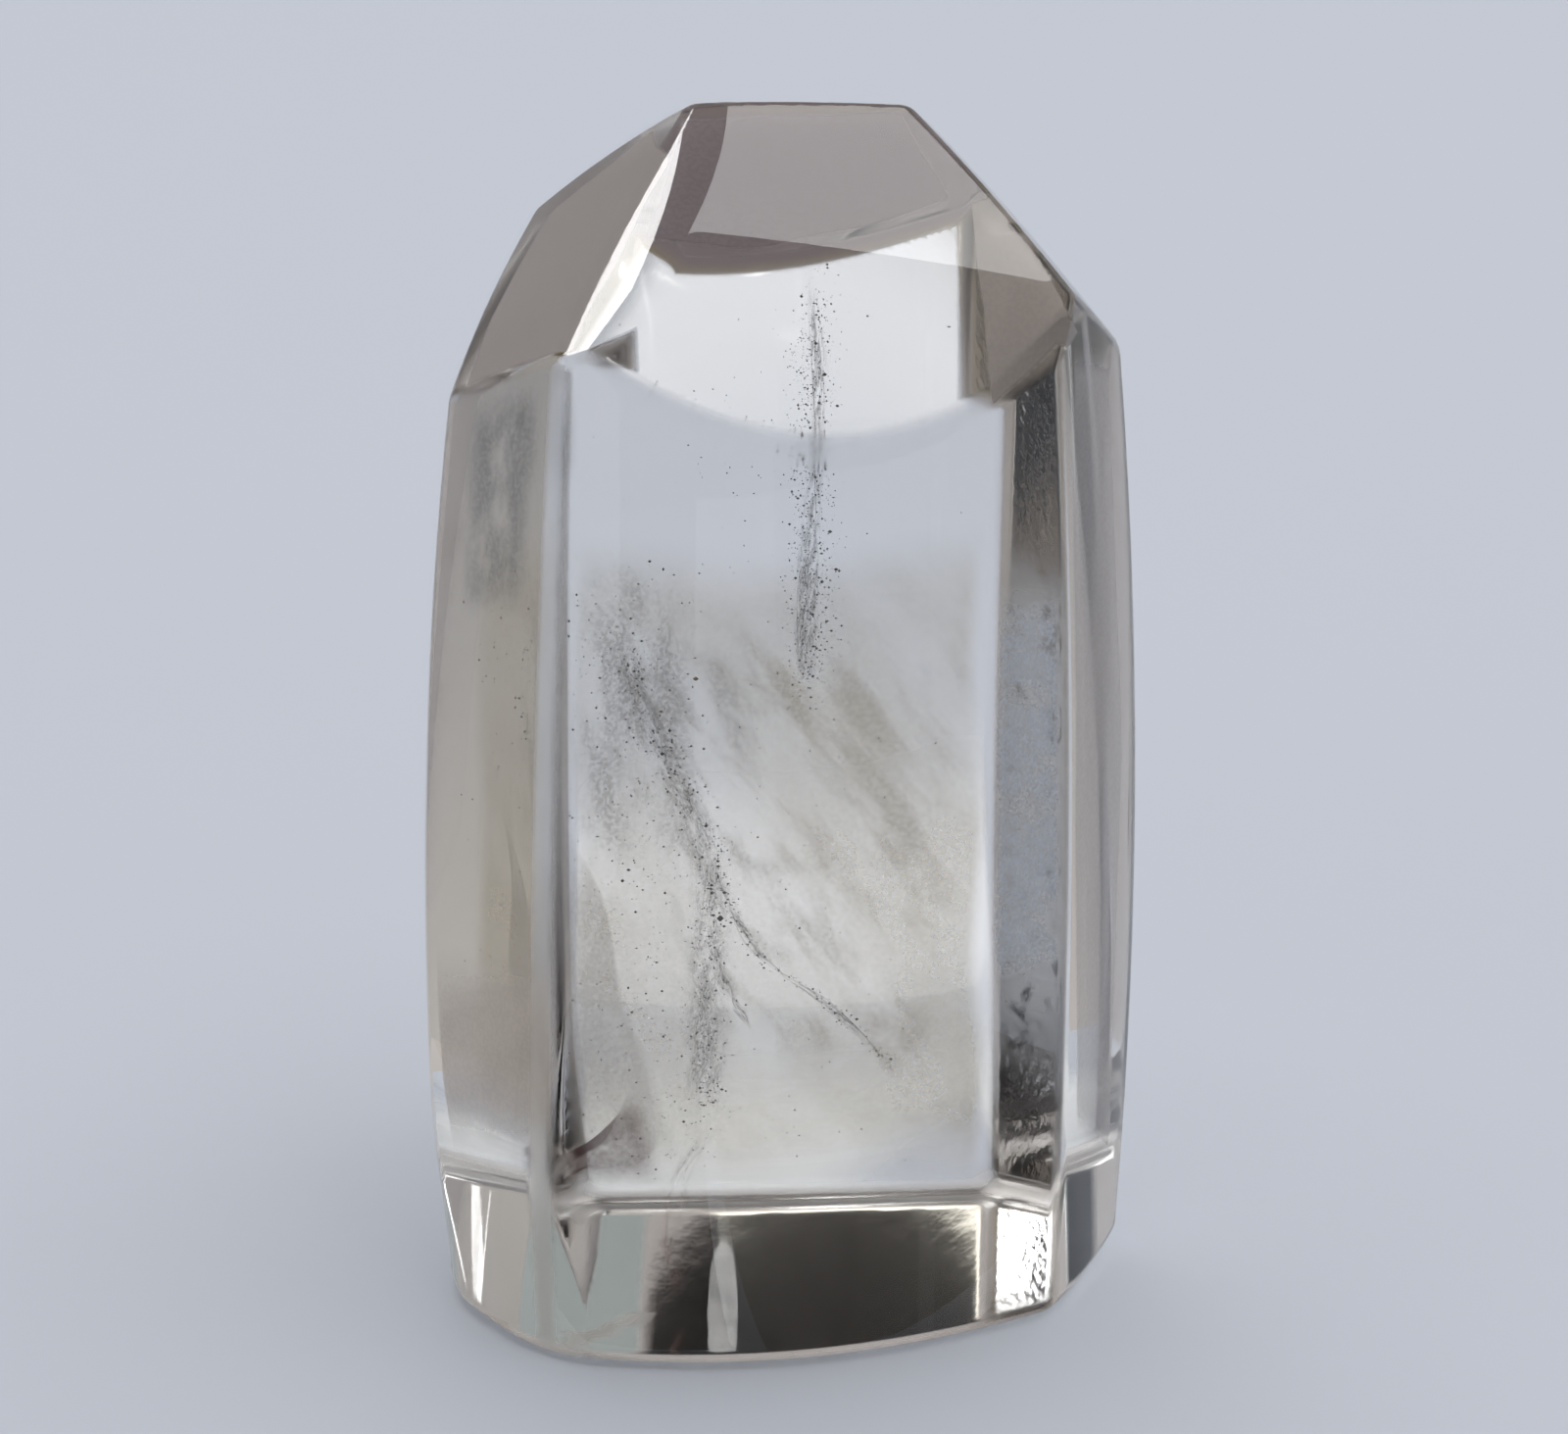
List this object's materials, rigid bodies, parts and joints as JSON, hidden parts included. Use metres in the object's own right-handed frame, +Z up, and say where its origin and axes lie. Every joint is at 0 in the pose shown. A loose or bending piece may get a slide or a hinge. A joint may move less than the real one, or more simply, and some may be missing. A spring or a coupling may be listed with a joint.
{
  "type": "clear quartz crystal point",
  "caption": "Upright clear quartz point with softly crowned prism faces, a slanting roof-like polished tip and a flat ground base, see-through with fine veils inside.",
  "frame": {"origin": "under the middle of the crystal's outline, on the flat base that it rests on", "axes": "+Z up along the prism from the base to the tip, -Y towards the broad front face, +X to the right of the front face"},
  "size_m": [0.019, 0.0172, 0.0321],
  "materials": {
    "quartz": "polished, clear"
  },
  "bodies": {
    "root": {"crystal": "quartz"}
  },
  "joints": []
}
